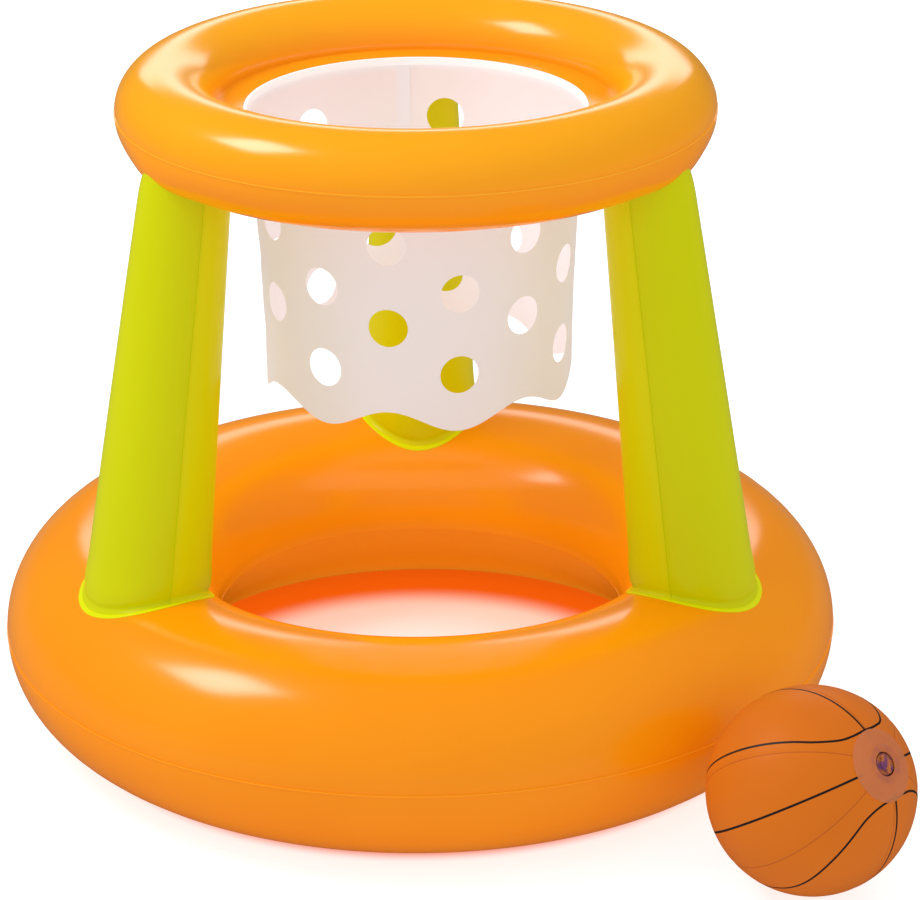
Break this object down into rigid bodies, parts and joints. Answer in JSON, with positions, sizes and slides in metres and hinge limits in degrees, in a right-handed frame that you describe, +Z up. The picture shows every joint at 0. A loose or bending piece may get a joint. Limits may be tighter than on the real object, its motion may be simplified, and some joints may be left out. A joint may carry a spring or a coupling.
{
  "type": "floating basketball hoop",
  "caption": "Inflatable pool hoop: wide floating base ring, leaning posts, a smaller hoop ring with a perforated net, push-in valves, and a small inflatable ball with basketball lines.",
  "frame": {"origin": "On the ground, under the middle of the box round the hoop and its ball. The hoop's own axis stands 12.3 mm towards -X and 34.0 mm towards +Y of it.", "axes": "+Z up, -Y the front, where two posts stand at the sides and one behind; the ball lies to the front right."},
  "size_m": [0.6986, 0.7422, 0.5425],
  "materials": {
    "orange_vinyl": "soft sheen vinyl sheet",
    "lime_vinyl": "soft sheen vinyl sheet",
    "lime_weld_vinyl": "pressed weld of vinyl sheet",
    "net_vinyl": "frosted translucent vinyl sheet",
    "net_band_vinyl": "frosted vinyl band",
    "ball_vinyl": "printed vinyl sheet",
    "ball_patch_vinyl": "welded vinyl patch",
    "clear_valve_vinyl": "clear soft vinyl"
  },
  "bodies": {
    "float": {"base_upper_panel": "orange_vinyl", "base_lower_panel": "orange_vinyl", "hoop_upper_panel": "orange_vinyl", "hoop_lower_panel": "orange_vinyl", "post_rear_outer_panel": "lime_vinyl", "post_rear_inner_panel": "lime_vinyl", "post_rear_foot_flange": "lime_weld_vinyl", "post_rear_top_flange": "lime_weld_vinyl", "post_left_outer_panel": "lime_vinyl", "post_left_inner_panel": "lime_vinyl", "post_left_foot_flange": "lime_weld_vinyl", "post_left_top_flange": "lime_weld_vinyl", "post_right_outer_panel": "lime_vinyl", "post_right_inner_panel": "lime_vinyl", "post_right_foot_flange": "lime_weld_vinyl", "post_right_top_flange": "lime_weld_vinyl", "net_sheet": "net_vinyl", "net_top_band": "net_band_vinyl", "base_valve_flange": "clear_valve_vinyl", "hoop_valve_flange": "clear_valve_vinyl"},
    "ball": {"ball_gore_1": "ball_vinyl", "ball_gore_2": "ball_vinyl", "ball_gore_3": "ball_vinyl", "ball_gore_4": "ball_vinyl", "ball_gore_5": "ball_vinyl", "ball_gore_6": "ball_vinyl", "ball_valve_patch": "ball_patch_vinyl", "ball_pole_patch": "ball_patch_vinyl", "ball_valve_flange": "clear_valve_vinyl"},
    "base_stem": {"base_valve_stem": "clear_valve_vinyl"},
    "base_plug": {"base_valve_plug": "clear_valve_vinyl"},
    "base_flap": {"base_valve_flap": "clear_valve_vinyl"},
    "hoop_stem": {"hoop_valve_stem": "clear_valve_vinyl"},
    "hoop_plug": {"hoop_valve_plug": "clear_valve_vinyl"},
    "hoop_flap": {"hoop_valve_flap": "clear_valve_vinyl"},
    "ball_stem": {"ball_valve_stem": "clear_valve_vinyl"},
    "ball_plug": {"ball_valve_plug": "clear_valve_vinyl"},
    "ball_flap": {"ball_valve_flap": "clear_valve_vinyl"}
  },
  "joints": [
    {"name": "ball_lift", "type": "slide", "parent": "float", "child": "ball", "axis": [0, 0, 1], "range_m": [0, 0.65]},
    {"name": "base_stem_slide", "type": "slide", "parent": "float", "child": "base_stem", "axis": [0.4882, 0.7306, 0.4774], "range_m": [0, 0.009]},
    {"name": "base_plug_hinge", "type": "hinge", "parent": "base_stem", "child": "base_plug", "pos_m": [0.16603, 0.30097, 0.12111], "axis": [0.8315, -0.5556, 0], "range_deg": [0, 125]},
    {"name": "base_flap_hinge", "type": "hinge", "parent": "base_stem", "child": "base_flap", "pos_m": [0.16116, 0.29367, 0.11349], "axis": [-0.8315, 0.5556, 0], "range_deg": [0, 40], "stiffness_Nm_per_rad": 0.0001},
    {"name": "hoop_stem_slide", "type": "slide", "parent": "float", "child": "hoop_stem", "axis": [0.5146, 0.6453, 0.5646], "range_m": [0, 0.009]},
    {"name": "hoop_plug_hinge", "type": "hinge", "parent": "hoop_stem", "child": "hoop_plug", "pos_m": [0.12554, 0.20692, 0.53141], "axis": [0.7818, -0.6235, 0], "range_deg": [0, 125]},
    {"name": "hoop_flap_hinge", "type": "hinge", "parent": "hoop_stem", "child": "hoop_flap", "pos_m": [0.12058, 0.2007, 0.52294], "axis": [-0.7818, 0.6235, 0], "range_deg": [0, 40], "stiffness_Nm_per_rad": 0.0001},
    {"name": "ball_stem_slide", "type": "slide", "parent": "ball", "child": "ball_stem", "axis": [0.6117, -0.5625, 0.5563], "range_m": [0, 0.009]},
    {"name": "ball_plug_hinge", "type": "hinge", "parent": "ball_stem", "child": "ball_plug", "pos_m": [0.31759, -0.3351, 0.12671], "axis": [-0.6769, -0.7361, 0], "range_deg": [0, 125]},
    {"name": "ball_flap_hinge", "type": "hinge", "parent": "ball_stem", "child": "ball_flap", "pos_m": [0.31167, -0.32966, 0.11831], "axis": [0.6769, 0.7361, 0], "range_deg": [0, 40], "stiffness_Nm_per_rad": 0.0001}
  ]
}
